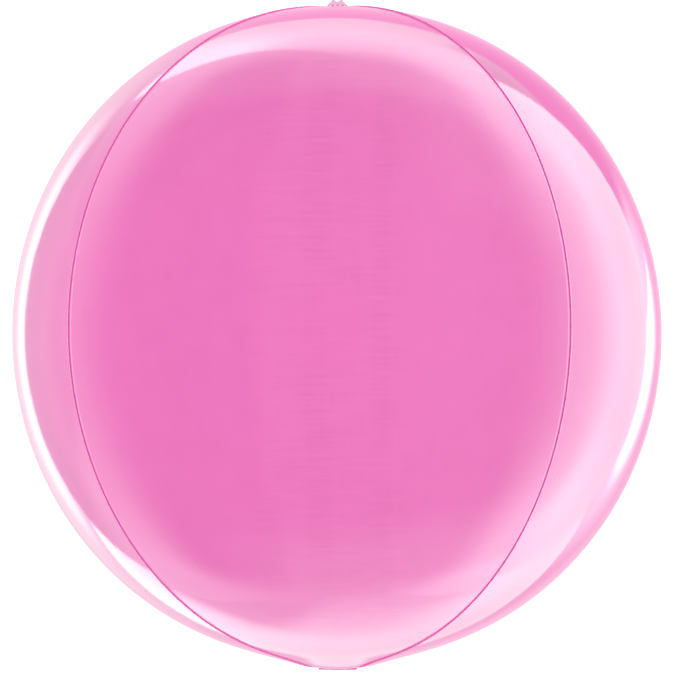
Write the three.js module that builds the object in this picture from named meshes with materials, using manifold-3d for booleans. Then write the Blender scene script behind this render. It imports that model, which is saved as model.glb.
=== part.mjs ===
// Round foil balloon, 38 cm across, inflated and lying on its back.
// Millimetres, +Z up. The balloon's pole axis runs along Y: the hanging tab is at +Y and the
// inflation neck at -Y. Its front panel faces up, and the origin is the middle of the small
// flat under the back panel that it rests on. The sealed, air-filled envelope is solid, and
// each of its four film panels is the quarter of it that lies behind that panel's film.
import * as THREE from 'three';
import { mergeVertices } from 'three/addons/utils/BufferGeometryUtils.js';
import Module from 'manifold-3d';

// Envelope
const EQUATOR_RADIUS = 190; // from the pole axis to the middle of a panel
const POLE_HEIGHT = 192; // from the equator to the top pole
const FULLNESS = 0.967; // power of the profile's cosine: under 1 is fuller than an ellipse
const NECK_DRAW = 4; // how much further the film is drawn out to a blunt point at the neck
const NECK_DRAW_RADIUS = 28; // how far from the pole axis half of that is left
const SEAM_RISE = 8; // how much further out than a panel's middle a seam runs at the equator
const REST_DEPTH = 1.6; // how far the weight flattens the panel underneath

// Welds that join the panels
const WELD_HEIGHT = 1.2; // how far a weld stands out from the film
const WELD_THICKNESS = 1.5; // both panels' edges together
const PANEL_GAP = 0.3; // clearance between neighbouring pieces

// Hanging tab at the top pole
const TAB_FOOT_WIDTH = 12;
const TAB_FOOT_HEIGHT = 1.4; // above the pole, where the shoulders begin
const TAB_NECK_WIDTH = 6.4;
const TAB_SHOULDER_HEIGHT = 2.8; // rise of the sloping shoulders
const TAB_HEIGHT = 8.6; // above the pole
const TAB_THICKNESS = 1;
const TAB_HOLE_RADIUS = 1.7;

// Inflation neck at the bottom pole, folded down behind the back panel
const NECK_WIDTH = 22;
const NECK_LENGTH = 46; // from the pole to the mouth
const NECK_THICKNESS = 0.6;
const NECK_BEND_RADIUS = 0.8; // of the fold beside the pole, at mid-thickness
const NECK_CORNER_RADIUS = 4; // of the mouth's corners
const SEAT_DEPTH = 0.5; // how far the tab and the neck are let into the poles

// Facets
const ROWS = 36; // from pole to pole
const COLUMNS = 64; // around the equator
const ARC_STEPS = 8; // per quarter turn of a small arc
const BEND_STEPS = 3; // in the neck's fold
const NECK_STEPS = 9; // along the neck

// The film panels, each with the direction it faces, in degrees from straight up
const PANELS = [
  ['front_panel', 0],
  ['right_panel', 90],
  ['back_panel', 180],
  ['left_panel', 270],
];

const FOIL = { color: '#ee78c0', roughness: 0.22, metalness: 0.55 };
const WELDED_FOIL = { color: '#dd62ae', roughness: 0.32, metalness: 0.55 };

const HALF_TURN = Math.PI;
const HALF_PANEL = HALF_TURN / PANELS.length;
const AXIS_HEIGHT = EQUATOR_RADIUS - REST_DEPTH;
const NECK_POLE = -POLE_HEIGHT - NECK_DRAW;
const REACH = 2 * Math.max(EQUATOR_RADIUS + SEAM_RISE, -NECK_POLE);

const wasm = await Module();
wasm.setup();

function toSolid(geometry) {
  const bare = geometry.clone();
  bare.deleteAttribute('normal');
  bare.deleteAttribute('uv');
  const merged = mergeVertices(bare);
  const corners = Array.from(merged.index.array);
  const kept = [];
  for (let i = 0; i < corners.length; i += 3) {
    const [a, b, c] = corners.slice(i, i + 3);
    if (a !== b && b !== c && c !== a) kept.push(a, b, c);
  }
  const vertProperties = new Float32Array(merged.attributes.position.array);
  const triVerts = new Uint32Array(kept);
  return new wasm.Manifold(new wasm.Mesh({ numProp: 3, vertProperties, triVerts }));
}

function toGeometry(solid) {
  const mesh = solid.getMesh();
  const geometry = new THREE.BufferGeometry();
  geometry.setAttribute('position', new THREE.BufferAttribute(new Float32Array(mesh.vertProperties), 3));
  geometry.setIndex(new THREE.BufferAttribute(new Uint32Array(mesh.triVerts), 1));
  geometry.computeVertexNormals();
  return geometry;
}

function toMesh(name, solid, finish) {
  const mesh = new THREE.Mesh(toGeometry(solid), new THREE.MeshStandardMaterial(finish));
  mesh.name = name;
  return mesh;
}

// A flat outline given thickness along Z, half to each side of the XY plane.
function plate(shape, thickness) {
  const geometry = new THREE.ExtrudeGeometry(shape, {
    depth: thickness,
    bevelEnabled: false,
    curveSegments: ARC_STEPS,
  });
  return geometry.translate(0, 0, -thickness / 2);
}

// The same outline stood up across the pole axis: its own y becomes -Z, and its thickness lies along Y.
function crossPlate(shape, thickness) {
  return plate(shape, thickness).rotateX(-HALF_TURN / 2);
}

// A point of the envelope's profile at a latitude: distance from the pole axis, and place along it.
function profilePoint(latitude) {
  const radius = EQUATOR_RADIUS * Math.cos(latitude) ** FULLNESS;
  const draw = latitude < 0 ? NECK_DRAW / (1 + (radius / NECK_DRAW_RADIUS) ** 4) : 0;
  return new THREE.Vector2(radius, POLE_HEIGHT * Math.sin(latitude) - draw);
}

function latitudes() {
  return Array.from({ length: ROWS + 1 }, (_, row) => HALF_TURN * (row / ROWS - 0.5));
}

// How much further out than a panel's middle the film is, as a ratio, at a turn about the pole axis.
// In section every panel is one shallow arc through its two seams, and the seams' rise dies out
// towards the poles.
function lobe(radius, turn) {
  const seam = 1 + (SEAM_RISE * radius) / EQUATOR_RADIUS ** 2;
  const fromMiddle = turn - 2 * HALF_PANEL * Math.round(turn / (2 * HALF_PANEL));
  const sag = 1 - seam * Math.cos(HALF_PANEL);
  const halfChord = seam * Math.sin(HALF_PANEL);
  const arcRadius = (halfChord ** 2 + sag ** 2) / (2 * sag);
  const offset = 1 - arcRadius;
  return offset * Math.cos(fromMiddle) + Math.sqrt(arcRadius ** 2 - (offset * Math.sin(fromMiddle)) ** 2);
}

function envelope() {
  const geometry = new THREE.LatheGeometry(latitudes().map(profilePoint), COLUMNS);
  const position = geometry.attributes.position;
  for (let i = 0; i < position.count; i += 1) {
    const x = position.getX(i);
    const z = position.getZ(i);
    const ratio = lobe(Math.hypot(x, z), Math.atan2(x, z));
    position.setX(i, x * ratio);
    position.setZ(i, z * ratio);
  }
  return toSolid(geometry);
}

// The profile of a seam, standing out by the weld's height, on one side of the pole axis.
function weldEdge() {
  return latitudes().map((latitude) => {
    const point = profilePoint(latitude);
    point.x *= lobe(point.x, HALF_PANEL);
    return point.setLength(point.length() + WELD_HEIGHT);
  });
}

// The space round the bottom pole that the welds keep clear of, because the neck lies on the film there.
function neckRoom() {
  const reach = (NECK_WIDTH / 2 + PANEL_GAP) / Math.sin(HALF_PANEL) + WELD_THICKNESS / 2;
  const room = new THREE.CylinderGeometry(reach, reach, REACH, 4 * ARC_STEPS);
  return toSolid(room.translate(0, -REACH / 2, 0));
}

// One plate through the whole envelope makes the welds of two opposite seams.
function weldPlate(turn) {
  const near = weldEdge();
  const far = near.slice(1, -1).reverse().map((point) => new THREE.Vector2(-point.x, point.y));
  const outline = new THREE.Shape([...near, ...far]);
  return toSolid(plate(outline, WELD_THICKNESS).rotateY(turn - HALF_TURN / 2)).subtract(neckRoom());
}

// The space of one panel: everything between its two seams, less half a gap at each.
function panelWedge(turn) {
  const apex = PANEL_GAP / 2 / Math.sin(HALF_PANEL);
  const spread = REACH * Math.tan(HALF_PANEL);
  const sector = new THREE.Shape([
    new THREE.Vector2(0, -apex),
    new THREE.Vector2(-spread, -apex - REACH),
    new THREE.Vector2(spread, -apex - REACH),
  ]);
  return toSolid(crossPlate(sector, 2 * REACH).rotateY(turn));
}

// Everything below the surface that the balloon rests on.
function ground() {
  const slab = new THREE.BoxGeometry(2 * REACH, 2 * REACH, REACH);
  return toSolid(slab.translate(0, 0, -AXIS_HEIGHT - REACH / 2));
}

// The slots at the poles that the tab and the neck are let into, each with a gap all round. A slot
// reaches from below their seat to clear of the welds.
function poleSlot(width, thickness, pole) {
  const inner = SEAT_DEPTH + PANEL_GAP;
  const outer = WELD_HEIGHT + PANEL_GAP;
  const slot = new THREE.BoxGeometry(width + 2 * PANEL_GAP, inner + outer, thickness + 2 * PANEL_GAP);
  return toSolid(slot.translate(0, pole + (Math.sign(pole) * (outer - inner)) / 2, 0));
}

function panels() {
  let balloon = envelope();
  for (let seam = 0; seam < PANELS.length / 2; seam += 1) {
    balloon = balloon.add(weldPlate((2 * seam + 1) * HALF_PANEL));
  }
  balloon = balloon.subtract(ground());
  balloon = balloon.subtract(poleSlot(TAB_FOOT_WIDTH, TAB_THICKNESS, POLE_HEIGHT));
  balloon = balloon.subtract(poleSlot(NECK_WIDTH, NECK_THICKNESS, NECK_POLE));
  return PANELS.map(([name, degrees]) => {
    const wedge = panelWedge(THREE.MathUtils.degToRad(degrees));
    return toMesh(name, balloon.intersect(wedge), FOIL);
  });
}

// A flat foot with sloping shoulders, drawn in to a round-ended eye with a hole through it.
function hangingTab() {
  const halfFoot = TAB_FOOT_WIDTH / 2;
  const halfNeck = TAB_NECK_WIDTH / 2;
  const shoulder = POLE_HEIGHT + TAB_FOOT_HEIGHT;
  const eye = POLE_HEIGHT + TAB_HEIGHT - halfNeck;
  const outline = new THREE.Shape();
  outline.moveTo(-halfFoot, POLE_HEIGHT - SEAT_DEPTH);
  outline.lineTo(halfFoot, POLE_HEIGHT - SEAT_DEPTH);
  outline.lineTo(halfFoot, shoulder);
  outline.lineTo(halfNeck, shoulder + TAB_SHOULDER_HEIGHT);
  outline.lineTo(halfNeck, eye);
  outline.absarc(0, eye, halfNeck, 0, HALF_TURN, false);
  outline.lineTo(-halfNeck, shoulder + TAB_SHOULDER_HEIGHT);
  outline.lineTo(-halfFoot, shoulder);
  outline.closePath();
  const hole = new THREE.Path();
  hole.absarc(0, eye, TAB_HOLE_RADIUS, 0, 2 * HALF_TURN, true);
  outline.holes.push(hole);
  return toMesh('hanging_tab', toSolid(plate(outline, TAB_THICKNESS)), WELDED_FOIL);
}

// The neck's middle line, seen from the side: x is how far it has come down behind the balloon, and
// y the place along the pole axis. It leaves the pole, folds over and follows the back panel.
function neckLine() {
  const standOff = PANEL_GAP + NECK_THICKNESS / 2;
  const foldHeight = NECK_POLE - standOff + NECK_BEND_RADIUS;
  const points = [new THREE.Vector2(0, NECK_POLE + SEAT_DEPTH)];
  for (let i = 0; i < BEND_STEPS; i += 1) {
    const angle = (HALF_TURN / 2) * (i / BEND_STEPS);
    const x = NECK_BEND_RADIUS * (1 - Math.cos(angle));
    points.push(new THREE.Vector2(x, foldHeight - NECK_BEND_RADIUS * Math.sin(angle)));
  }
  for (let i = 0; i <= NECK_STEPS; i += 1) {
    const down = NECK_BEND_RADIUS + (NECK_LENGTH - NECK_BEND_RADIUS) * (i / NECK_STEPS);
    const film = profilePoint(-Math.acos((down / EQUATOR_RADIUS) ** (1 / FULLNESS)));
    points.push(film.setLength(film.length() + standOff));
  }
  return points;
}

// A closed outline of even thickness about an open line of points.
function strip(points, thickness) {
  const sideOf = (sign) => points.map((point, i) => {
    const before = points[Math.max(i - 1, 0)];
    const after = points[Math.min(i + 1, points.length - 1)];
    const across = after.clone().sub(before).normalize();
    return new THREE.Vector2(-across.y, across.x).multiplyScalar((sign * thickness) / 2).add(point);
  });
  return new THREE.Shape([...sideOf(1), ...sideOf(-1).reverse()]);
}

// The neck seen along the pole axis, a straight band with a round-cornered mouth.
function neckPlan() {
  const half = NECK_WIDTH / 2;
  const corner = NECK_CORNER_RADIUS;
  const plan = new THREE.Shape();
  plan.moveTo(-half, -NECK_THICKNESS);
  plan.lineTo(half, -NECK_THICKNESS);
  plan.lineTo(half, NECK_LENGTH - corner);
  plan.absarc(half - corner, NECK_LENGTH - corner, corner, 0, HALF_TURN / 2, false);
  plan.absarc(corner - half, NECK_LENGTH - corner, corner, HALF_TURN / 2, HALF_TURN, false);
  plan.closePath();
  return plan;
}

function inflationNeck() {
  const side = toSolid(plate(strip(neckLine(), NECK_THICKNESS), 2 * NECK_WIDTH).rotateY(HALF_TURN / 2));
  const plan = toSolid(crossPlate(neckPlan(), 2 * REACH));
  return toMesh('inflation_neck', side.intersect(plan), WELDED_FOIL);
}

const balloon = new THREE.Group();
balloon.name = 'round_foil_balloon';
balloon.position.z = AXIS_HEIGHT;
balloon.add(...panels(), hangingTab(), inflationNeck());

export default balloon;
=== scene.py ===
"""Round foil balloon of four glossy film panels, dressed on its CAD frame, with its studio."""

import math

import bmesh
import bpy
import numpy as np
from mathutils import Matrix, Vector


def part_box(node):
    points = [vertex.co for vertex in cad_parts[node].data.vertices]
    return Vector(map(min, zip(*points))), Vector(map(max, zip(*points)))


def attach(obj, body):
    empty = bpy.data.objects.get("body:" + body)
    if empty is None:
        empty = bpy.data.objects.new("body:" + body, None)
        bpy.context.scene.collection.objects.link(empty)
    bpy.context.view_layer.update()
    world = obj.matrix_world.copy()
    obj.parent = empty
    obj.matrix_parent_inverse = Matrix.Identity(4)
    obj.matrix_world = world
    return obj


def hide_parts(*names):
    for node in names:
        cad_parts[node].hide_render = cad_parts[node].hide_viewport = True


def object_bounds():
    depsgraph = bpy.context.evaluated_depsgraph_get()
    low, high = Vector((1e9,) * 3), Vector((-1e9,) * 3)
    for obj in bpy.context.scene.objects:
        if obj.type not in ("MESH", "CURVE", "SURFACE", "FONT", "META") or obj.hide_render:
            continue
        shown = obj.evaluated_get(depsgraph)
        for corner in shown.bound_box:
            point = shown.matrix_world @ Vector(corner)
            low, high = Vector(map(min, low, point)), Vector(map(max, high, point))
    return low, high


bl_info = {
    "name": "Round Foil Balloon",
    "version": (1, 0, 0),
    "blender": (4, 5, 0),
    "location": "3D View > Sidebar > Balloon",
    "description": "Panels, welds, hanging tab and inflation neck of a foil balloon, and its studio",
    "category": "Add Mesh",
}

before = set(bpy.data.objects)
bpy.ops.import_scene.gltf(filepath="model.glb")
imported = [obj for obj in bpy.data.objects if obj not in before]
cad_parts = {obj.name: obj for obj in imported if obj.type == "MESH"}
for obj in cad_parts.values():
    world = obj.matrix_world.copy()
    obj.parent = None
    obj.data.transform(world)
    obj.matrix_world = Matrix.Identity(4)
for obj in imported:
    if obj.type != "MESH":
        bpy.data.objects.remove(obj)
CAD_BOX = [list(corner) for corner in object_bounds()]

HALF_TURN = math.pi
HALF_PANEL = math.pi / 4

CHART = "film"  # the name of each piece's own map
MERGE_DISTANCE = 1e-7
SHARP_ANGLE = math.radians(50)

PANEL_ROWS, PANEL_COLUMNS = 361, 57
PANEL_SHARE = 0.9994  # of its quarter of the balloon, so that two panels don't touch at a seam
PANEL_CROWDING = 0.8  # how strongly a panel's columns crowd towards its seams

# Places in the film's finish, in metres. A band's are along X: its middle, half width and faded edge. The
# painted highlight's are on a panel's own map: where it begins and is full, across the panel and at its neck
# end.
MIDDLE_BAND = (0.008, 0.036, 0.052)
DARK_BANDS = ((0.002, 0.003, 0.011), (0.0375, 0.002, 0.008))
SEAM_HIGHLIGHT_ACROSS = (0.1472, 0.1480)
SEAM_HIGHLIGHT_ALONG = (-0.282, -0.277)

WELD_ROWS = 1401
WELD_ENDS = (-0.473 * HALF_TURN, 0.4985 * HALF_TURN)  # the latitudes that a weld runs between
WELD_FADE = 0.006  # the distance over which a weld sinks in as it nears the neck
WELD_SINK = 1.3  # how deep it sinks, in times its height
RIB_PITCH = 0.0013  # of the fine ribs in the finish of the welds and the neck

TAB_POINTS = 420  # round the tab's outline
TAB_COLUMNS = 33  # from the tab's hole to its outline
ARC_POINTS = 33  # in the tab's round end
TAB_ROUNDING = 0.00035  # the radius of the tab's corners and edges
PLEAT_PITCH = 0.003  # of the pleats at the tab's foot, and of the creases in its finish
SHADED_CREASE_ENDS = (0.1926, 0.1948)  # where the creases and their painted shade begin to fade and end, along the pole axis

NECK_COLUMNS = 61
NECK_ROWS = 90  # past the neck's fold
FOLD_ROWS = 10  # in its fold
NECK_RIB_PITCH = 0.0012
NECK_PLEAT_PITCH = 0.0032
NECK_MIDDLE = (0.0024, 0.0032)  # where the smoother middle begins and is full, in from the side

BOX_ROWS, BOX_COLUMNS = 49, 96
BOX_DISTANCE = 25.0  # from the balloon to the soft boxes
BOX_TOP = 0.98  # the sine of the angle over the balloon's level that they reach

CAD_RADIUS = (CAD_BOX[1][0] - CAD_BOX[0][0]) / 2
CAD_AXIS_HEIGHT = CAD_BOX[1][2] - CAD_RADIUS
TAB_LOW, TAB_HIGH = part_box("hanging_tab")
NECK_LOW, NECK_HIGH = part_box("inflation_neck")

# Each film panel's CAD node and the direction it faces, as a turn from straight up towards +X.
PANELS = {
    "front_panel": 0.0,
    "right_panel": HALF_TURN / 2,
    "back_panel": HALF_TURN,
    "left_panel": -HALF_TURN / 2,
}


def length(name, description, default):
    """A property that holds a length in metres."""
    return bpy.props.FloatProperty(
        name=name,
        description=description,
        default=default,
        min=0.0,
        precision=5,
        subtype="DISTANCE",
        unit="LENGTH",
    )


def angle(name, description, default):
    """A property that holds an angle; the default is given in degrees."""
    return bpy.props.FloatProperty(
        name=name,
        description=description,
        default=math.radians(default),
        subtype="ANGLE",
        unit="ROTATION",
    )


def factor(name, description, default, highest=1.0):
    """A property that holds a plain number."""
    return bpy.props.FloatProperty(
        name=name, description=description, default=default, min=0.0, max=highest
    )


def colour(name, description, default):
    """A property that holds a colour, as linear red, green and blue."""
    return bpy.props.FloatVectorProperty(
        name=name,
        description=description,
        default=default,
        size=3,
        min=0.0,
        max=1.0,
        subtype="COLOR",
    )


class BalloonSizes(bpy.types.PropertyGroup):
    """Sizes of the balloon, in metres."""

    equator_radius: length(
        "Equator Radius", "From the pole axis to the middle of a panel", CAD_RADIUS
    )
    axis_height: length("Axis Height", "Height of the pole axis above the floor", CAD_AXIS_HEIGHT)
    pole_height: length("Pole Height", "From the equator to the top pole", 0.192)
    fullness: factor(
        "Fullness", "Power of the profile's cosine; under 1 is fuller than an ellipse", 0.967
    )
    neck_draw: length(
        "Neck Draw", "How much further the film is drawn out to a blunt point at the neck", 0.004
    )
    neck_draw_radius: length(
        "Neck Draw Radius", "How far from the pole axis half of that is left", 0.028
    )
    seam_rise: length(
        "Seam Rise", "How much further out a seam runs than a panel's middle at the equator", 0.008
    )
    film_thickness: length(
        "Film Thickness", "Thickness of a panel's film as it is modelled", 0.0003
    )
    floor_softness: length("Floor Softness", "How softly the film meets the floor", 0.0004)
    weld_height: length("Weld Height", "How far a weld stands out from the film", 0.0007)
    weld_thickness: length("Weld Thickness", "Both panels' edges together", 0.0004)
    weld_foot: length("Weld Foot", "Half width of the fillet where a weld meets the film", 0.0005)
    weld_end: length("Weld End", "How far from the pole axis a weld dies out at the neck", 0.0167)
    crimp_pitch: length("Crimp Pitch", "Distance between the ripples along a weld", 0.0026)
    crimp_depth: length("Crimp Depth", "How far a ripple leans a weld to one side", 0.00004)
    tab_foot_width: length(
        "Tab Foot Width", "Width of the hanging tab where it leaves the pole", 0.012
    )
    tab_foot_height: length(
        "Tab Foot Height", "Height above the pole where the tab's shoulders begin", 0.0014
    )
    tab_neck_width: length("Tab Neck Width", "Width of the tab's round-ended eye", 0.0064)
    tab_shoulder: length("Tab Shoulder", "Rise of the tab's sloping shoulders", 0.0028)
    tab_hole_radius: length("Tab Hole Radius", "Radius of the hole in the tab", 0.0017)
    tab_thickness: length("Tab Thickness", "Thickness of the tab at its bead", 0.0009)
    neck_width: length("Neck Width", "Width of the flat inflation neck", NECK_HIGH.x - NECK_LOW.x)
    neck_length: length("Neck Length", "From the pole to the neck's mouth", 0.046)
    neck_thickness: length("Neck Thickness", "Thickness of the neck along its middle", 0.0006)
    neck_stand_off: length(
        "Neck Stand-off", "From the film to the middle of the neck's thickness", 0.0006
    )
    neck_corner: length("Neck Corner", "Radius of the mouth's corners", 0.004)


class BalloonFinish(bpy.types.PropertyGroup):
    """Colours and gloss of the balloon."""

    foil_colour: colour("Foil Colour", "Colour of the film panels", (0.888, 0.173, 0.531))
    foil_shade: colour(
        "Foil Shade", "Deeper tone that the film's fine streaks reach", (0.778, 0.131, 0.444)
    )
    weld_colour: colour("Weld Colour", "Colour of the welds and the neck", (0.80, 0.035, 0.41))
    weld_highlight: colour("Weld Highlight", "Paler tone of the pressed ribs", (0.90, 0.13, 0.52))
    tab_colour: colour("Tab Colour", "Colour of the thin hanging tab", (1.0, 0.70, 0.90))
    # painted shade: the deep tone that darkens the creases at the tab's foot
    crease_shade_colour: colour(
        "Crease Shade Colour", "Deep tone in the creases at the tab's foot", (0.60, 0.012, 0.30)
    )
    # painted highlight: the paler line beside the welds, where the film meets a weld and catches light
    seam_highlight_colour: colour(
        "Seam Highlight Colour", "Painted highlight on the film beside a weld", (0.97, 0.46, 0.75)
    )
    foil_roughness: factor("Foil Roughness", "Roughness of the film's gloss", 0.07)
    weld_roughness: factor("Weld Roughness", "Roughness of the pressed welds", 0.28)
    gloss: factor("Gloss", "Refractive index of the film's clear face", 1.5, 3.0)


class StudioSettings(bpy.types.PropertyGroup):
    """Camera, floor and light."""

    camera_distance: length("Camera Distance", "From the balloon's middle to the camera", 2.698)
    camera_turn: angle("Camera Turn", "How far the camera stands round towards +X", 4.21)
    camera_rise: angle("Camera Rise", "How far the camera stands towards +Y", -1.98)
    camera_lens: bpy.props.FloatProperty(
        name="Camera Lens",
        description="Focal length in millimetres on a 36 mm frame",
        default=245.2,
        min=1.0,
    )
    camera_right: bpy.props.FloatProperty(
        name="Camera Right",
        description="Sideways move of the camera in its own frame",
        default=0.00018,
        unit="LENGTH",
    )
    camera_up: bpy.props.FloatProperty(
        name="Camera Up",
        description="Upward move of the camera in its own frame",
        default=-0.002,
        unit="LENGTH",
    )
    dome_light: factor("Dome Light", "Brightness of the even light from above", 1.0, 20.0)
    low_light: factor(
        "Low Light", "Brightness of the light that the flanks get from below", 0.60, 20.0
    )
    left_light: factor("Left Light", "How much more of it comes from the left", 0.40, 20.0)
    box_light: factor("Box Light", "Brightness of the soft boxes round the balloon", 1.0, 20.0)
    box_tint: colour("Box Tint", "Colour of the soft boxes", (0.84, 1.0, 0.89))
    opening_tint: colour(
        "Opening Tint", "Colour of the glow in the opening between them", (0.86, 0.20, 0.53)
    )
    floor_glow: factor("Floor Glow", "Light that the floor gives off by itself", 0.62, 5.0)
    floor_size: length("Floor Size", "Side of the square floor", 60.0)


class Value:
    """A node's output that can stand in an arithmetic expression, which adds its Math nodes."""

    def __init__(self, shader, node, output):
        self.shader = shader
        self.source = node
        self.output = output

    def other(self, output):
        """Another output of the same node."""
        return Value(self.shader, self.source, output)

    def math(self, operation, *values):
        """A Math node of that operation on these values."""
        return self.shader.node("ShaderNodeMath", {"operation": operation}, dict(enumerate(values)))

    def __add__(self, value):
        return self.math("ADD", self, value)

    def __radd__(self, value):
        return self.math("ADD", value, self)

    def __sub__(self, value):
        return self.math("SUBTRACT", self, value)

    def __rsub__(self, value):
        return self.math("SUBTRACT", value, self)

    def __mul__(self, value):
        return self.math("MULTIPLY", self, value)

    def __rmul__(self, value):
        return self.math("MULTIPLY", value, self)

    def __truediv__(self, value):
        return self.math("DIVIDE", self, value)

    def __rtruediv__(self, value):
        return self.math("DIVIDE", value, self)

    def __neg__(self):
        return self.math("MULTIPLY", self, -1.0)

    def __abs__(self):
        return self.math("ABSOLUTE", self)

    def at_least(self, value):
        """The greater of this and value."""
        return self.math("MAXIMUM", self, value)

    def wave(self, pitch):
        """A sine of this distance that comes round once in every pitch."""
        return self.math("SINE", self * (2.0 * HALF_TURN / pitch))

    def rise(self, low, high):
        """0 up to low, 1 from high, and a smooth step between them."""
        return self.shader.node(
            "ShaderNodeMapRange",
            {"interpolation_type": "SMOOTHSTEP"},
            {"Value": self, "From Min": low, "From Max": high},
        )

    def fall(self, low, high):
        """1 up to low, 0 from high, and a smooth step between them."""
        return 1.0 - self.rise(low, high)

    def near(self, centre, inner, outer):
        """1 within inner of centre, 0 from outer on, and a smooth step between them."""
        return abs(self - centre).fall(inner, outer)

    def towards(self, value, share):
        """This moved to value by share."""
        return self + (value - self) * share


class Shader:
    """A node tree that is being filled."""

    def __init__(self, tree):
        self.tree = tree
        tree.nodes.clear()

    def node(self, kind, settings=None, sockets=None, output=0):
        """A new node. Its settings are set first, then its sockets get a value or a link."""
        node = self.tree.nodes.new(kind)
        for name, setting in (settings or {}).items():
            setattr(node, name, setting)
        for name, value in (sockets or {}).items():
            if isinstance(value, Value):
                self.tree.links.new(value.source.outputs[value.output], node.inputs[name])
            else:
                node.inputs[name].default_value = value
        return Value(self, node, output)

    def place(self):
        """The point's own place, in metres."""
        return self.node("ShaderNodeTexCoord", output="Object")

    def parts(self, vector):
        """The three parts of a vector."""
        split = self.node("ShaderNodeSeparateXYZ", sockets={"Vector": vector})
        return split, split.other("Y"), split.other("Z")

    def chart(self):
        """The two numbers of the piece's own map, across it and along it."""
        return self.parts(self.node("ShaderNodeUVMap", {"uv_map": CHART}))[:2]

    def noise(self, vector, scale, detail=2.0, roughness=0.5):
        """Noise about 0, from roughly -0.5 to 0.5, with scale cells in each unit of the vector."""
        sockets = {"Vector": vector, "Scale": scale, "Detail": detail, "Roughness": roughness}
        return self.node("ShaderNodeTexNoise", sockets=sockets) - 0.5

    def streaks(self, across, along, cells_across, cells_along, detail):
        """Noise drawn out one way, with so many cells a metre across and along."""
        sockets = {"X": across * cells_across, "Y": along * cells_along}
        return self.noise(self.node("ShaderNodeCombineXYZ", sockets=sockets), 1.0, detail)

    def blend(self, first, second, share):
        """A colour between two colours."""
        return self.node("ShaderNodeMix", {"data_type": "RGBA"}, {0: share, 6: first, 7: second}, 2)

    def bump(self, height, strength, distance):
        """A surface direction bent by the slope of this height."""
        sockets = {"Strength": strength, "Distance": distance, "Height": height}
        return self.node("ShaderNodeBump", sockets=sockets)

    def finish_surface(self, sockets):
        """A Principled surface with these sockets, joined to the material's output."""
        surface = self.node("ShaderNodeBsdfPrincipled", sockets=sockets)
        self.node("ShaderNodeOutputMaterial", sockets={"Surface": surface})


def opaque(rgb):
    """A property's colour as a socket's four numbers."""
    return (*rgb, 1.0)


def new_material(name):
    """A material and the shader that fills it."""
    material = bpy.data.materials.new(name)
    material.use_nodes = True
    return material, Shader(material.node_tree)


def foil_material(finish):
    """Glossy coloured film. The base colour carries faint upright bands, two darker ones near the middle
    with cross dashes in and round them, mottling, and the fine streaks that the film was rolled with,
    which run from pole to pole. Beside the welds it has a paler line, a painted highlight.
    A bump carries shallow ripples that run like the streaks, a broad swell and a fine grain."""
    material, shader = new_material("glossy_film")
    place = shader.place()
    across, along, _ = shader.parts(place)
    chart_across, chart_along = shader.chart()
    bands = shader.streaks(across, 0.0, 22.0, 0.0, 1.0)
    dashes = shader.streaks(across, along, 30.0, 420.0, 3.0)
    middle = across.near(*MIDDLE_BAND)
    dark = across.near(*DARK_BANDS[0]) + across.near(*DARK_BANDS[1])
    mottle = shader.noise(place, 55.0, 4.0, 0.6)
    streaks = shader.streaks(chart_across, chart_along, 420.0, 9.0, 3.0)
    tone = 0.5 + bands * 0.3 + dashes * (middle * 0.5 + dark * 0.3) - dark * 0.1
    tone = (tone + mottle * 0.5 + streaks * 0.15).rise(-0.3, 0.75)
    film_colour = shader.blend(opaque(finish.foil_shade), opaque(finish.foil_colour), tone)
    # painted highlight: a paler line along each panel's edges, beside the welds
    seam_highlight_mask = abs(chart_across).rise(*SEAM_HIGHLIGHT_ACROSS) * chart_along.rise(*SEAM_HIGHLIGHT_ALONG)
    ripples = shader.streaks(chart_across, chart_along, 260.0, 5.0, 2.0)
    swell = shader.noise(place, 16.0)
    grain = shader.noise(place, 900.0)
    sockets = {
        "Base Color": shader.blend(film_colour, opaque(finish.seam_highlight_colour), seam_highlight_mask * 0.6),
        "Roughness": finish.foil_roughness + mottle * 0.03 + streaks * 0.03,
        "IOR": finish.gloss,
        "Normal": shader.bump(ripples * 0.25 + swell * 0.2 + grain * 0.02, 0.1, 0.001),
    }
    shader.finish_surface(sockets)
    return material


def weld_material(finish):
    """Film pressed together by a heated bar: deeper in colour, less glossy, with fine cross ribs that are
    paler on their crests. The neck's middle, between its pressed sides, is smoother, paler and glossier.
    The piece's own map gives in metres the distance along it and, across it, how far in from the neck's
    side or from the weld's middle."""
    material, shader = new_material("pressed_film")
    place = shader.place()
    across, along = shader.chart()
    mottle = shader.noise(place, 420.0, 3.0, 0.6)
    wear = shader.noise(place, 90.0)
    middle = abs(across).rise(*NECK_MIDDLE)
    ribs = (along + mottle * (RIB_PITCH / HALF_TURN)).wave(RIB_PITCH) * (1.0 - middle * 0.9)
    tone = (0.28 + ribs * 0.16 + mottle * 0.5 + wear * 0.4 + middle * 0.4).rise(0.0, 1.0)
    sockets = {
        "Base Color": shader.blend(opaque(finish.weld_colour), opaque(finish.weld_highlight), tone),
        "Roughness": finish.weld_roughness + mottle * 0.15 - middle * 0.15,
        "IOR": finish.gloss,
        "Normal": shader.bump(ribs * 0.5 + mottle, 0.3, 0.0002),
    }
    shader.finish_surface(sockets)
    return material


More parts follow.
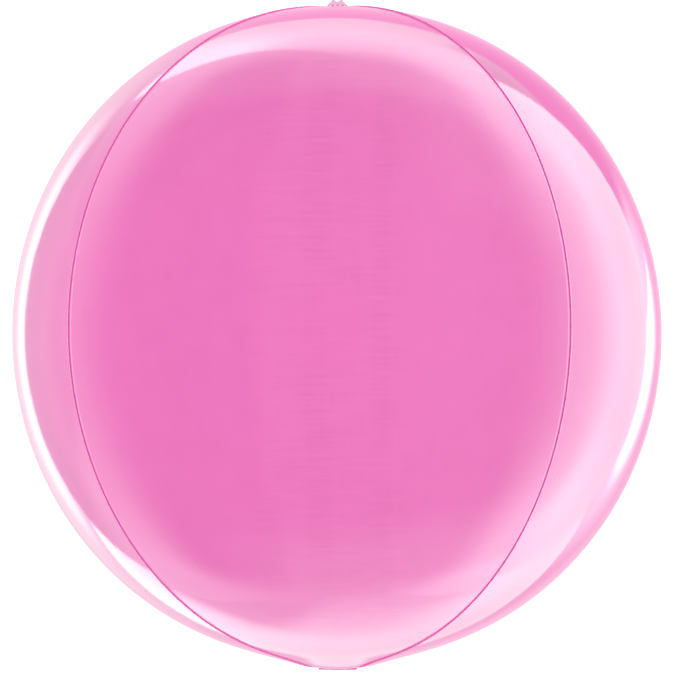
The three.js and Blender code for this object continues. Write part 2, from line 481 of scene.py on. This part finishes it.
def tab_material(finish):
    """Thin pressed film: pale where light comes through it, pink along its outline and round the hole, and
    deep with painted shade in the small creases at its foot. Across the piece's own map is the share of the
    way from the hole to the outline, and along it is the place on the pole axis."""
    material, shader = new_material("thin_film")
    place = shader.place()
    side = shader.parts(place)[0]
    share, along = shader.chart()
    mottle = shader.noise(place, 700.0, 3.0, 0.6)
    rim = share.rise(0.68, 0.98) * 0.85 + share.fall(0.0, 0.12) * 0.4
    tone = (rim + mottle * 0.5).rise(0.0, 1.0)
    film_colour = shader.blend(opaque(finish.tab_colour), opaque(finish.weld_colour), tone)
    gathers = (side + 0.0004 + mottle * 0.0008).wave(PLEAT_PITCH).rise(-0.1, 1.0)
    # painted shade: the creases darken the base colour; they also bend the surface in the bump
    shaded_creases = along.fall(*SHADED_CREASE_ENDS) * gathers
    sockets = {
        "Base Color": shader.blend(film_colour, opaque(finish.crease_shade_colour), shaded_creases),
        "Roughness": 0.22 + mottle * 0.1,
        "IOR": finish.gloss,
        "Normal": shader.bump(mottle + shaded_creases, 0.4, 0.0003),
    }
    shader.finish_surface(sockets)
    return material


def floor_material(studio):
    """Pale matt floor with a soft even glow, and a grain too fine to see from far."""
    material, shader = new_material("pale_floor")
    grain = shader.noise(shader.place(), 140.0, 3.0)
    tone = (0.5 + grain * 0.6).rise(0.0, 1.0)
    sockets = {
        "Base Color": shader.blend((0.84, 0.84, 0.84, 1.0), (0.88, 0.88, 0.88, 1.0), tone),
        "Roughness": 0.9,
        "Specular IOR Level": 0.1,
        "Emission Color": (1.0, 1.0, 1.0, 1.0),
        "Emission Strength": studio.floor_glow,
    }
    shader.finish_surface(sockets)
    return material


def add_object(name, data):
    """A new object of that name in the scene, at the origin."""
    added = bpy.data.objects.new(name, data)
    bpy.context.scene.collection.objects.link(added)
    return added


def loft(name, rings, chart, looped=False):
    """A closed mesh through rings of points, an array of rows by columns by 3. Each ring closes on itself,
    and the rows close on each other where looped, or else end in a cap. chart holds the map's two numbers
    for each point. Points that fall together, as at a pole, are merged."""
    rows, columns = rings.shape[:2]
    index = np.arange(rows * columns).reshape(rows, columns)
    last = rows if looped else rows - 1
    here = index[:last]
    after = index[(np.arange(last) + 1) % rows]
    quads = np.stack([here, np.roll(here, -1, 1), np.roll(after, -1, 1), after], -1).reshape(-1, 4)
    faces = quads.tolist()
    if not looped:
        faces += [index[0, ::-1].tolist(), index[-1].tolist()]
    mesh = bpy.data.meshes.new(name)
    mesh.from_pydata(rings.reshape(-1, 3).tolist(), [], faces)
    corners = np.empty(len(mesh.loops), np.int32)
    mesh.loops.foreach_get("vertex_index", corners)
    mesh.uv_layers.new(name=CHART).data.foreach_set("uv", chart.reshape(-1, 2)[corners].ravel())
    solid = bmesh.new()
    solid.from_mesh(mesh)
    bmesh.ops.remove_doubles(solid, verts=solid.verts, dist=MERGE_DISTANCE)
    bmesh.ops.dissolve_degenerate(solid, edges=solid.edges, dist=MERGE_DISTANCE / 10)
    bmesh.ops.recalc_face_normals(solid, faces=solid.faces)
    solid.to_mesh(mesh)
    solid.free()
    mesh.polygons.foreach_set("use_smooth", np.ones(len(mesh.polygons), bool))
    mesh.set_sharp_from_angle(angle=SHARP_ANGLE)
    return add_object(name, mesh)


def dress(piece, material, nodes=()):
    """The piece gets its material, rides on the balloon, and stands for these CAD nodes."""
    piece.data.materials.append(material)
    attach(piece, "root")
    if nodes:
        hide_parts(*nodes)


def reached(line):
    """The distance along a line to each of its points."""
    return np.concatenate([[0.0], np.cumsum(np.linalg.norm(np.diff(line, axis=0), axis=1))])


def profile(latitude, sizes):
    """Distance from the pole axis, and place along it. The distance is the equator radius times the cosine
    of the latitude to the power of the fullness, and the place is the pole height times the sine. Near the
    neck the film is drawn further out, by the draw over 1 plus the fourth power of the radius over the
    draw's."""
    radius = sizes.equator_radius * np.maximum(np.cos(latitude), 0.0) ** sizes.fullness
    bell = sizes.neck_draw / (1.0 + (radius / sizes.neck_draw_radius) ** 4)
    draw = np.where(latitude < 0.0, bell, 0.0)
    return radius, sizes.pole_height * np.sin(latitude) - draw


def lobe(radius, from_middle, sizes):
    """How much further out than a panel's middle the film is, as a ratio. In section a panel is one
    shallow arc through its two seams, and the seams' rise dies out towards the poles."""
    seam = 1.0 + sizes.seam_rise * radius / sizes.equator_radius**2
    sag = 1.0 - seam * math.cos(HALF_PANEL)
    half_chord = seam * math.sin(HALF_PANEL)
    arc_radius = (half_chord**2 + sag**2) / (2.0 * sag)
    offset = 1.0 - arc_radius
    return offset * np.cos(from_middle) + np.sqrt(arc_radius**2 - (offset * np.sin(from_middle)) ** 2)


def film(latitude, turn, facing, sizes, lift=0.0):
    """Points of the envelope at a latitude and a turn about the pole axis from a panel's facing, moved out
    from the balloon's middle by lift. The floor stops them: a height becomes half of itself plus the root
    of its square and the softness's square, so it never falls below the floor."""
    radius, along = profile(latitude, sizes)
    spread = radius * lobe(radius, turn, sizes)
    aside = spread * np.sin(turn + facing)
    ahead = spread * np.cos(turn + facing)
    points = np.stack(np.broadcast_arrays(aside, along, ahead), -1)
    size = np.linalg.norm(points, axis=-1, keepdims=True)
    points = points * (1.0 + lift / size)
    height = points[..., 2] + sizes.axis_height
    points[..., 2] = (height + np.sqrt(height**2 + sizes.floor_softness**2)) / 2.0
    return points


def build_panel(name, facing, material, sizes):
    """One film panel: a closed shell from pole to pole between its two seams. Its rows run from the bottom
    pole to the top one, and its columns crowd towards the seams as the sine of a shortened sweep."""
    latitude = np.linspace(-HALF_TURN / 2, HALF_TURN / 2, PANEL_ROWS)[:, None]
    sweep = HALF_TURN / 2 * PANEL_CROWDING
    share = np.sin(np.linspace(-1.0, 1.0, PANEL_COLUMNS) * sweep) / math.sin(sweep)
    turn = (HALF_PANEL * PANEL_SHARE * share)[None, :]
    outer = film(latitude, turn, facing, sizes)
    inner = film(latitude, turn, facing, sizes, -sizes.film_thickness)
    rings = np.concatenate([outer, inner[:, ::-1]], 1)
    chart = np.stack(np.broadcast_arrays(turn, latitude), -1) * sizes.equator_radius
    chart = np.concatenate([chart, chart[:, ::-1]], 1)
    dress(loft(name + "_film", rings, chart), material, [name])


def weld_section(sizes):
    """The section of a weld, as places to the side of the seam and heights over the film: a strip with a
    narrowed top, whose sides spread into a skirt that ends a little under the film, over a keel."""
    half = sizes.weld_thickness / 2
    tall = sizes.weld_height
    fillet, skirt, keel = 0.0004, 0.00012, 0.0006
    right = [(half * 0.85, tall * 0.93), (half, fillet), (half * 1.5, skirt), (sizes.weld_foot, -skirt)]
    left = [(-side, up) for side, up in reversed(right)]
    return np.array([*left, (0.0, tall), *right, (0.0, -keel)]).T


def build_weld(name, facing, material, sizes):
    """The weld on one seam: its section carried along the seam, standing straight out from the balloon's
    middle, and leaning a little from side to side as a sine of the distance along it, whose pitch wanders.
    It sinks into the film as it nears the neck."""
    latitude = np.linspace(*WELD_ENDS, WELD_ROWS)
    seam = film(latitude, np.full_like(latitude, HALF_PANEL), facing, sizes)
    outward = seam - np.array([0.0, 0.0, sizes.axis_height])
    outward /= np.linalg.norm(outward, axis=1, keepdims=True)
    sideways = np.array([math.cos(facing + HALF_PANEL), 0.0, -math.sin(facing + HALF_PANEL)])
    distance = reached(seam)
    side, up = weld_section(sizes)
    wander_size, wander_rate = 1.5, 90.0
    wander = wander_size * np.sin(distance * wander_rate)
    lean = sizes.crimp_depth * np.sin(distance * 2 * HALF_TURN / sizes.crimp_pitch + wander)
    across = side + lean[:, None] * np.clip(up / sizes.weld_height, 0.0, 1.0)
    from_axis = np.hypot(seam[:, 0], seam[:, 2] - sizes.axis_height)
    sinking = np.clip((sizes.weld_end - from_axis) / WELD_FADE + 1.0, 0.0, 1.0) * (latitude < 0.0)
    lift = up - sizes.weld_height * WELD_SINK * sinking[:, None]
    rings = seam[:, None] + outward[:, None] * lift[..., None] + sideways * across[..., None]
    chart = np.stack(np.broadcast_arrays(side, distance[:, None]), -1)
    dress(loft(name, rings, chart), material)


def rounded_outline(corners, count, softness):
    """A closed line through corners, evenly spaced, whose corners are rounded by a running mean."""
    closed = np.vstack([corners, corners[:1]])
    distance = reached(closed)
    places = np.linspace(0.0, distance[-1], count, endpoint=False)
    line = np.stack([np.interp(places, distance, closed[:, axis]) for axis in (0, 1)], 1)
    width = max(1, round(softness / (distance[-1] / count)))
    shifts = range(-width, width + 1)
    return sum(np.roll(line, shift, 0) for shift in shifts) / len(shifts)


def tab_outline(sizes, eye):
    """The tab's outline on the plane of its front: a flat foot, sloping shoulders, and a half circle about
    the eye at the top."""
    foot = sizes.tab_foot_width / 2
    neck = sizes.tab_neck_width / 2
    low = TAB_LOW.y
    shoulder = sizes.pole_height + sizes.tab_foot_height
    turns = np.linspace(0.0, HALF_TURN, ARC_POINTS)
    arc = np.stack([neck * np.cos(turns), eye + neck * np.sin(turns)], 1)
    starts = np.array([[foot, low], [foot, shoulder], [neck, shoulder + sizes.tab_shoulder]])
    ends = starts[::-1] * (-1.0, 1.0)
    return rounded_outline(np.vstack([starts, arc, ends]), TAB_POINTS, TAB_ROUNDING)


def build_tab(material, sizes):
    """The hanging tab: a thin pressed plate across the front, with a round eye. Its section runs from the
    hole to the outline and back. It is thickest in a bead round the hole, a bell curve of the distance
    from it, rounds off at both edges, and swells at the foot into small pleats where the film gathers."""
    eye = TAB_HIGH.y - sizes.tab_neck_width / 2
    outline = tab_outline(sizes, eye)
    middle = np.array([0.0, eye])
    rays = outline - middle
    hole = middle + rays / np.linalg.norm(rays, axis=1, keepdims=True) * sizes.tab_hole_radius
    share = (1.0 - np.cos(np.linspace(0.0, HALF_TURN, TAB_COLUMNS))) / 2.0
    flat = hole[:, None] + (outline - hole)[:, None] * share[None, :, None]
    height = flat[..., 1]
    span = np.linalg.norm(outline - hole, axis=1)[:, None]
    from_hole = share * span
    edge = np.minimum(from_hole, span - from_hole) / TAB_ROUNDING
    rounding = np.sqrt(np.clip(1.0 - (1.0 - np.clip(edge, 0.0, 1.0)) ** 2, 0.0, 1.0))
    bead_place, bead_width, bead_rise = 0.0005, 0.0003, 0.22
    bead = bead_rise * np.exp(-(((from_hole - bead_place) / bead_width) ** 2))
    shoulder = sizes.pole_height + sizes.tab_foot_height
    past_shoulder, gather_rise, plate = 0.0004, 0.9, 0.72
    gather = np.clip((shoulder + past_shoulder - height) / (shoulder - TAB_LOW.y), 0.0, 1.0) ** 2
    pleats = 0.5 + 0.5 * np.cos(flat[..., 0] * 2 * HALF_TURN / PLEAT_PITCH)
    swell = gather * gather_rise * (1.0 + pleats)
    half = sizes.tab_thickness / 2 * rounding * (plate + bead + swell)
    front = np.concatenate([flat, (sizes.axis_height + half)[..., None]], -1)
    back = np.concatenate([flat, (sizes.axis_height - half)[..., None]], -1)
    rings = np.concatenate([front, back[:, -2:0:-1]], 1)
    chart = np.stack(np.broadcast_arrays(share, height), -1)
    chart = np.concatenate([chart, chart[:, -2:0:-1]], 1)
    dress(loft("eyelet_tab", rings, chart, looped=True), material, ["hanging_tab"])


def neck_path(sizes):
    """The middle line of the folded neck, seen from the side: how far it has come down behind the pole
    axis, and its place along the axis. It starts sunk in the pole, stands a little proud of it, turns
    through a quarter circle and follows the film at the stand-off."""
    pole = -sizes.pole_height - sizes.neck_draw
    sunk, proud, bend = 0.0005, 0.0002, 0.0008
    root = np.array([[0.0, pole + sunk], [0.0, pole - proud]])
    turn = np.linspace(0.0, HALF_TURN / 2, FOLD_ROWS)
    centre = pole - sizes.neck_stand_off + bend
    fold = np.stack([bend * (1.0 - np.cos(turn)), centre - bend * np.sin(turn)], 1)
    down = np.linspace(bend, sizes.neck_length, NECK_ROWS)[1:]
    latitude = -np.arccos((down / sizes.equator_radius) ** (1.0 / sizes.fullness))
    line = np.stack(profile(latitude, sizes), 1)
    size = np.linalg.norm(line, axis=1, keepdims=True)
    return np.vstack([root, fold, line * (1.0 + sizes.neck_stand_off / size)])


def neck_section(distance, across, share, sizes):
    """Half the neck's thickness: two films that part along the middle as a half ellipse and are pressed
    together at both sides, where ribs cross them. The valve's narrow strip shows through along the first
    part, small pleats fade out from the root, and both side edges are thinned."""
    root_reach, thin_edge, valve_end = 0.012, 0.02, 0.62
    valve_width, open_width, pressed_width = 0.36, 0.78, 0.8
    from_middle = np.abs(across) / (sizes.neck_width / 2)
    root = np.clip(distance / root_reach, 0.0, 1.0)
    puff = 0.45 * np.sqrt(np.clip(1.0 - (from_middle / open_width) ** 2, 0.0, 1.0))
    valve = 0.16 * np.exp(-((from_middle / valve_width) ** 8)) * (distance < distance[-1] * valve_end)
    ribs = 0.03 * np.sin(distance * 2 * HALF_TURN / NECK_RIB_PITCH) * (from_middle > pressed_width)
    pleats = 0.10 * (1.0 - root) * np.cos(across * 2 * HALF_TURN / NECK_PLEAT_PITCH)
    edge = np.clip((1.0 - np.abs(share)) / thin_edge, 0.0, 1.0)
    fill = 0.3 + puff * (0.55 + 0.45 * root) + valve + ribs + pleats
    return sizes.neck_thickness / 2 * fill * (0.35 + 0.65 * edge)


def build_neck(material, sizes):
    """The flat inflation neck folded behind the back panel: a flat section carried along its path, whose
    half width follows a quarter circle at the mouth's corners. Across its map is the distance in from the
    nearer side."""
    line = neck_path(sizes)
    ahead = np.gradient(line, axis=0)
    ahead /= np.linalg.norm(ahead, axis=1, keepdims=True)
    aside = np.stack([-ahead[:, 1], ahead[:, 0]], 1)
    distance = reached(line)
    corner = sizes.neck_corner
    into = np.clip(distance - (distance[-1] - corner), 0.0, corner)
    half_width = sizes.neck_width / 2 - corner + np.sqrt(np.maximum(corner**2 - into**2, 0.0))
    share = np.sin(np.linspace(-1.0, 1.0, NECK_COLUMNS) * HALF_TURN / 2)
    across = half_width[:, None] * share
    half = neck_section(distance[:, None], across, share, sizes)
    face = np.concatenate([half, -half[:, ::-1]], 1)
    wide = np.concatenate([across, across[:, ::-1]], 1)
    down = line[:, :1] + aside[:, :1] * face
    along = line[:, 1:] + aside[:, 1:] * face
    rings = np.stack([wide, along, sizes.axis_height - down], -1)
    from_side = sizes.neck_width / 2 - np.abs(wide)
    chart = np.stack(np.broadcast_arrays(from_side, distance[:, None]), -1)
    dress(loft("folded_neck", rings, chart), material, ["inflation_neck"])


def build_floor(studio):
    """A square floor just under the balloon. It isn't seen in the gloss, so the soft boxes are."""
    half = studio.floor_size / 2
    corners = [(-half, -half, 0.0), (half, -half, 0.0), (half, half, 0.0), (-half, half, 0.0)]
    mesh = bpy.data.meshes.new("studio_floor")
    mesh.from_pydata(corners, [], [(0, 1, 2, 3)])
    mesh.materials.append(floor_material(studio))
    floor = add_object("studio_floor", mesh)
    floor.visible_glossy = False
    floor.visible_diffuse = False


def box_edges(across, along):
    """How much a direction lies in the right box, in the one at the head, in the one at the foot and in the
    opening between them and the left wall, each from 0 to 1. The right box's edge leans in towards the
    head, and the edge of the box at the head comes nearer at both its ends."""
    right_edge = 0.70 - along.rise(-0.40, 0.30) * 0.075 - along.at_least(0.2) * 0.05
    right = (across - right_edge).rise(-0.01, 0.01)
    head = (along + abs(across).rise(0.1, 0.35) * 0.075).rise(0.775, 0.81)
    foot = (-along).rise(0.455, 0.48)
    opening = (1.0 - right) * (1.0 - head) * (1.0 - foot) * across.rise(-0.805, -0.785)
    return right, head, foot * across.rise(-0.79, -0.765), opening


def wall_level(across, along):
    """Brightness of the dim wall to the left, which grows outwards and towards the head and the foot."""
    ends = abs(along).rise(0.5, 1.4) * 0.9 + (-along).rise(0.5, 0.9) * 0.4
    return 1.1 + (-across).rise(0.85, 1.6) * 0.5 + ends


def foot_level(across, along):
    """Brightness of the box at the foot, which grows outwards and at both sides of its near edge."""
    return (
        1.95
        + (-along).rise(0.5, 1.1) * across.rise(-0.45, -0.15) * 1.5
        + (-across).rise(0.1, 0.6) * (-along).fall(1.0, 1.4) * 2.2
        + across.rise(0.1, 0.7) * (-along).fall(1.2, 2.0) * 1.7
    )


def head_level(across, along):
    """Brightness of the box at the head, which grows outwards and at both sides of its near edge, and has a
    shaded patch in its near right part. To the left it ends at a bent edge, and beyond that it is dimmer."""
    level = (
        1.75
        + along.rise(0.65, 1.6) * 2.2
        + (-across).rise(0.2, 0.6) * along.fall(1.4, 2.2) * 1.7
        + across.rise(0.2, 0.8) * 0.6
    )
    level = level.towards(1.4, across.rise(0.22, 0.36) * along.fall(0.98, 1.2))
    past_bend = along - 1.25
    edge = 0.82 - abs(past_bend) * 0.25 - past_bend.at_least(0.0) * 0.2
    beyond = along.rise(1.1, 1.4) * 0.9 + 1.5
    return beyond.towards(level, (across + edge).rise(-0.02, 0.02))


def right_level(across, along):
    """Brightness of the large box to the right, which grows outwards, falls off a little in its far part,
    and is brighter towards the head and the foot of its near part."""
    return (
        2.75
        + across.rise(0.6, 1.5) * 2.1
        - across.rise(1.6, 2.6) * 0.6
        + (-along).rise(0.2, 1.0) * across.fall(1.1, 2.0) * 1.7
        + along.rise(0.3, 1.0) * across.fall(0.9, 1.6) * 1.6
    )


def opening_level(across, along):
    """Brightness in the opening, and its coloured glow. Inside the left edge is a bright strip, and inside
    the right one a bright leaf between a curve and a slanting line, with a haze round it. The dusk dims the
    right part towards the head, and the part towards the foot is a little brighter."""
    left = (-across).rise(0.15, 0.5)
    strip = (-across).rise(0.45, 0.70) * along.fall(0.34, 0.66) * (-along).fall(0.32, 0.50)
    bend = along - 0.04
    leaf = (across - 0.43 - bend * bend * 1.2).rise(-0.08, 0.08) * along.rise(-0.36, -0.24)
    leaf = leaf * (0.40 - across * 0.53 - along).rise(-0.004, 0.012)
    haze = across.rise(0.27, 0.68) * along.fall(0.24, 0.34)
    dusk = across.rise(-0.1, 0.4) * along.rise(0.05, 0.35) * 0.25 - (-along).rise(0.0, 0.3) * 0.2
    level = 0.6 + left * 0.8 - dusk + strip * 1.8 + haze * 1.7 + leaf * 2.1
    return level, (1.0 - left) * (0.7 + across * 0.5 + along.at_least(-0.1) * 0.7)


def window_above(x, y, z):
    """How much a direction lies in the darker window over the balloon's level, and how much brighter than
    the dome the window is there. Its place is given on the direction's stereographic picture. It has a
    shelf at the head and one at the foot, a brighter corner, and a slope from left to right."""
    picture = (z + 1.0).at_least(0.05)
    aside = x / picture
    ahead = y / picture
    bulge = ahead * ahead
    in_width = (aside + bulge * 0.17).fall(0.56, 0.92) * (bulge * 0.1 - aside).fall(0.62, 0.95)
    in_length = ahead.fall(1.22, 1.6) * (-ahead).fall(1.0, 1.35)
    head_shelf = ahead.rise(0.85, 1.12) * (0.5 + aside.rise(-0.5, 0.2) * 0.45)
    foot_shelf = (-ahead).rise(0.58, 0.90) * aside.rise(-0.6, 0.0) * 1.05
    corner = aside.rise(0.22, 0.42) * ahead.rise(0.30, 0.50) * 0.45
    slope = aside.rise(0.03, 0.30) * 0.16 - (-aside).rise(0.15, 0.235) * 0.28
    return in_width * in_length * z.rise(-0.8, -0.7), head_shelf + foot_shelf + corner + slope


def soft_boxes(x, y, z, studio):
    """Brightness of the soft boxes by direction, and of the coloured glow between them. They stand under
    the level of the balloon, where the gloss of its flanks looks: a large one to the right, one at the
    head, one at the foot and a dim wall to the left, round a rectangular opening. Their places are given
    on a plane at distance 1 below the balloon. Towards its level the boxes pass into a band that is
    brightest at both right corners, and over it the band ends at a darker window."""
    depth = (-z).at_least(0.02)
    across = x / depth
    along = y / depth
    right, head, foot, opening = box_edges(across, along)
    inside, glow = opening_level(across, along)
    level = wall_level(across, along).towards(foot_level(across, along), foot)
    level = level.towards(head_level(across, along), head)
    level = level.towards(right_level(across, along), right)
    level = level.towards(inside, opening)
    band = 2.7 + x.at_least(0.0) * 1.3 + abs(y).rise(0.3, 0.85) * x.rise(0.25, 0.55) * 2.6
    level = level.towards(band, z.rise(-0.46, -0.12)) * studio.box_light
    window, above_dome = window_above(x, y, z)
    return level.towards(above_dome + studio.dome_light, window), glow * opening


def box_material(studio):
    """Light whose brightness and tint follow the direction from the balloon."""
    material, shader = new_material("box_light")
    direction = shader.node("ShaderNodeVectorMath", {"operation": "NORMALIZE"}, {0: shader.place()})
    level, glow = soft_boxes(*shader.parts(direction), studio)
    bright = level + glow
    tint = shader.blend(opaque(studio.box_tint), opaque(studio.opening_tint), glow / bright)
    light = shader.node("ShaderNodeEmission", sockets={"Color": tint, "Strength": bright})
    shader.node("ShaderNodeOutputMaterial", sockets={"Surface": light})
    return material


def build_boxes(studio):
    """The soft boxes: a bowl far round the balloon that only its gloss sees. Its rows and columns are
    latitudes and turns about the upright."""
    turn = np.linspace(0.0, 2 * HALF_TURN, BOX_COLUMNS + 1)[:-1]
    latitude = np.linspace(-HALF_TURN / 2, math.asin(BOX_TOP), BOX_ROWS)[:, None]
    out = np.cos(latitude)
    points = np.stack(np.broadcast_arrays(out * np.cos(turn), out * np.sin(turn), np.sin(latitude)), -1)
    index = np.arange(BOX_ROWS * BOX_COLUMNS).reshape(BOX_ROWS, BOX_COLUMNS)
    corners = [index[:-1], index[1:], np.roll(index[1:], -1, 1), np.roll(index[:-1], -1, 1)]
    faces = np.stack(corners, -1).reshape(-1, 4)
    mesh = bpy.data.meshes.new("soft_boxes")
    mesh.from_pydata((points * BOX_DISTANCE).reshape(-1, 3).tolist(), [], faces.tolist())
    mesh.materials.append(box_material(studio))
    bowl = add_object("soft_boxes", mesh)
    for ray in ("camera", "diffuse", "transmission", "volume_scatter", "shadow"):
        setattr(bowl, "visible_" + ray, False)


def build_light(studio):
    """The world's light: an even dome above, and under it a dim light that grows towards the left."""
    world = bpy.data.worlds.new("soft_studio")
    world.use_nodes = True
    shader = Shader(world.node_tree)
    direction = shader.node("ShaderNodeTexCoord", output="Generated")
    x, _, z = shader.parts(direction)
    low = (-x).rise(0.1, 0.9) * studio.left_light + studio.low_light
    level = low.towards(studio.dome_light, z.rise(-0.12, 0.02))
    light = shader.node("ShaderNodeBackground", sockets={"Color": level})
    shader.node("ShaderNodeOutputWorld", sockets={"Surface": light})
    bpy.context.scene.world = world
    bpy.context.scene.view_settings.view_transform = "Standard"


def build_camera(studio, sizes):
    """The camera looks at the balloon's middle from nearly straight above, with the tab at the top."""
    turn, rise = studio.camera_turn, studio.camera_rise
    away = Vector((math.sin(turn) * math.cos(rise), math.sin(rise), math.cos(turn) * math.cos(rise)))
    right = Vector((0.0, 1.0, 0.0)).cross(away).normalized()
    up = away.cross(right)
    place = Vector((0.0, 0.0, sizes.axis_height)) + away * studio.camera_distance
    place += right * studio.camera_right + up * studio.camera_up
    data = bpy.data.cameras.new("picture_camera")
    data.lens = studio.camera_lens
    data.sensor_width = 36.0
    data.clip_start = 0.05
    data.clip_end = 200.0
    camera = add_object("picture_camera", data)
    camera.matrix_world = Matrix.Translation(place) @ Matrix((right, up, away)).transposed().to_4x4()
    bpy.context.scene.camera = camera


def shared_material(name, make, finish):
    """The material of that name, made once."""
    return bpy.data.materials.get(name) or make(finish)


class BALLOON_OT_studio(bpy.types.Operator):
    """Set up the camera, the floor and the soft light"""

    bl_idname = "balloon.studio"
    bl_label = "Studio"

    def execute(self, context):
        build_camera(context.scene.balloon_studio, context.scene.balloon_sizes)
        build_floor(context.scene.balloon_studio)
        build_boxes(context.scene.balloon_studio)
        build_light(context.scene.balloon_studio)
        return {"FINISHED"}


class BALLOON_OT_panels(bpy.types.Operator):
    """Build the four film panels"""

    bl_idname = "balloon.panels"
    bl_label = "Film Panels"

    def execute(self, context):
        material = shared_material("glossy_film", foil_material, context.scene.balloon_finish)
        for name, facing in PANELS.items():
            build_panel(name, facing, material, context.scene.balloon_sizes)
        return {"FINISHED"}


class BALLOON_OT_welds(bpy.types.Operator):
    """Build the welds that join the panels"""

    bl_idname = "balloon.welds"
    bl_label = "Welds"

    def execute(self, context):
        material = shared_material("pressed_film", weld_material, context.scene.balloon_finish)
        for name, facing in PANELS.items():
            build_weld(name.replace("panel", "weld"), facing, material, context.scene.balloon_sizes)
        return {"FINISHED"}


class BALLOON_OT_hanging_tab(bpy.types.Operator):
    """Build the hanging tab at the top pole"""

    bl_idname = "balloon.hanging_tab"
    bl_label = "Hanging Tab"

    def execute(self, context):
        material = shared_material("thin_film", tab_material, context.scene.balloon_finish)
        build_tab(material, context.scene.balloon_sizes)
        return {"FINISHED"}


class BALLOON_OT_inflation_neck(bpy.types.Operator):
    """Build the inflation neck folded behind the bottom pole"""

    bl_idname = "balloon.inflation_neck"
    bl_label = "Inflation Neck"

    def execute(self, context):
        material = shared_material("pressed_film", weld_material, context.scene.balloon_finish)
        build_neck(material, context.scene.balloon_sizes)
        return {"FINISHED"}


OPERATORS = (
    BALLOON_OT_studio,
    BALLOON_OT_panels,
    BALLOON_OT_welds,
    BALLOON_OT_hanging_tab,
    BALLOON_OT_inflation_neck,
)


class BALLOON_PT_sidebar(bpy.types.Panel):
    """The balloon's operators, sizes and colours"""

    bl_idname = "BALLOON_PT_sidebar"
    bl_label = "Round Foil Balloon"
    bl_space_type = "VIEW_3D"
    bl_region_type = "UI"
    bl_category = "Balloon"

    def draw(self, context):
        for operator in OPERATORS:
            self.layout.operator(operator.bl_idname)
        for name, group in GROUPS.items():
            box = self.layout.box()
            for field in group.__annotations__:
                box.prop(getattr(context.scene, name), field)


GROUPS = {
    "balloon_sizes": BalloonSizes,
    "balloon_finish": BalloonFinish,
    "balloon_studio": StudioSettings,
}


def register():
    for group in GROUPS.values():
        bpy.utils.register_class(group)
    for operator in OPERATORS:
        bpy.utils.register_class(operator)
    bpy.utils.register_class(BALLOON_PT_sidebar)
    for name, group in GROUPS.items():
        setattr(bpy.types.Scene, name, bpy.props.PointerProperty(type=group))


def unregister():
    for name in GROUPS:
        delattr(bpy.types.Scene, name)
    bpy.utils.unregister_class(BALLOON_PT_sidebar)
    for operator in reversed(OPERATORS):
        bpy.utils.unregister_class(operator)
    for group in reversed(GROUPS.values()):
        bpy.utils.unregister_class(group)


def main():
    register()
    bpy.ops.balloon.studio()
    bpy.ops.balloon.panels()
    bpy.ops.balloon.welds()
    bpy.ops.balloon.hanging_tab()
    bpy.ops.balloon.inflation_neck()


if __name__ == "__main__":
    main()
